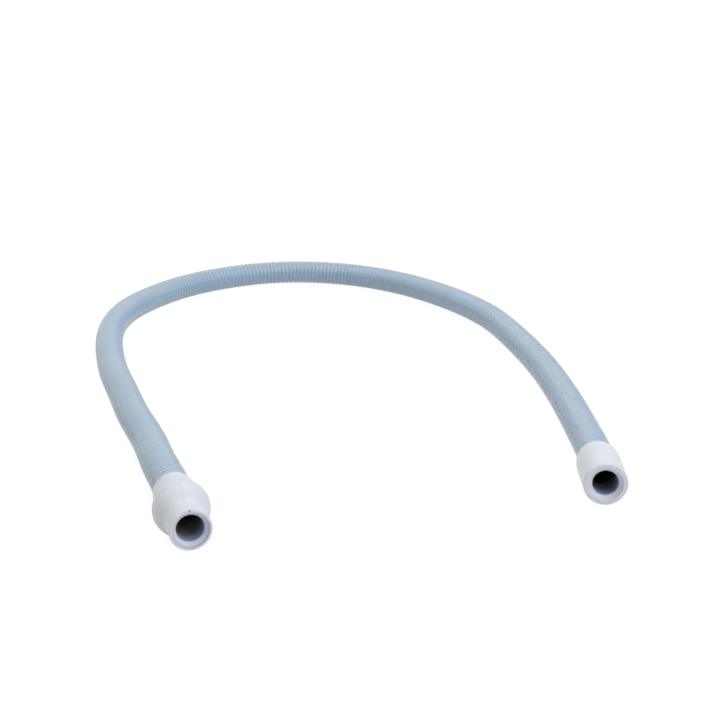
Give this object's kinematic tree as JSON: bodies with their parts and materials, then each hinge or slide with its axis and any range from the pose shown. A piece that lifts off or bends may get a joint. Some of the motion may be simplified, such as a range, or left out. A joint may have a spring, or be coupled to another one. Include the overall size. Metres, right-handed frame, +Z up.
{
  "type": "dryer pump hose",
  "caption": "Corrugated drain hose lying in a loop, with a bulb cuff on one end and a plain cuff on the other.",
  "frame": {"origin": "centre of the footprint on the plane that the hose lies on", "axes": "+Z up, +Y from the two mouths towards the far side of the loop, +X to the right seen from the mouths"},
  "size_m": [0.4151, 0.6877, 0.035],
  "materials": {
    "hose_plastic": "satin, light grey-blue blown plastic",
    "cuff_rubber": "satin, near-white soft moulding"
  },
  "bodies": {
    "root": {"corrugated_hose": "hose_plastic", "bulb_cuff": "cuff_rubber", "plain_cuff": "cuff_rubber"}
  },
  "joints": []
}
